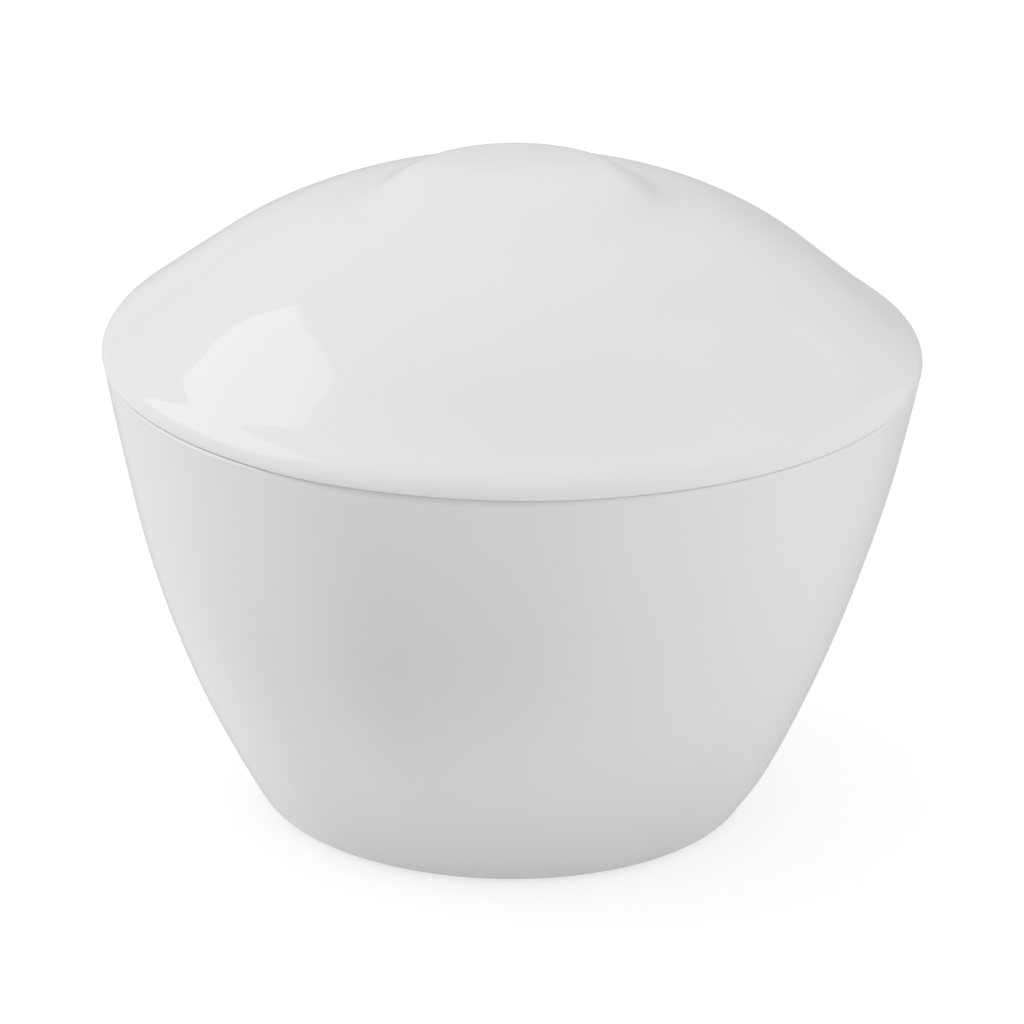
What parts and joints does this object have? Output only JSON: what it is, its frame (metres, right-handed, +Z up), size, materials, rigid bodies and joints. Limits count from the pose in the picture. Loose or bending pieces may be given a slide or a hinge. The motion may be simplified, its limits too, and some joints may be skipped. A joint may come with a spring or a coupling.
{
  "type": "sugar bowl",
  "caption": "Round tapering white porcelain sugar bowl on a foot ring, with a lift-off conical lid that has a low integral knob, which runs out into the slope at the front, and a locating flange inside the mouth.",
  "frame": {"origin": "centre of the ring that the bowl stands on, in the standing plane", "axes": "+Z up along the common axis of bowl and lid; -Y faces the viewer of the picture and +X is to that viewer's right"},
  "size_m": [0.108, 0.108, 0.0879],
  "materials": {
    "porcelain": "glossy clear glaze over white body, dry unglazed foot ring and lip seat"
  },
  "bodies": {
    "bowl": {"bowl": "porcelain"},
    "lid": {"lid": "porcelain"}
  },
  "joints": [
    {"name": "lid_lift", "type": "slide", "parent": "bowl", "child": "lid", "axis": [0, 0, 1], "range_m": [0, 0.1]}
  ]
}
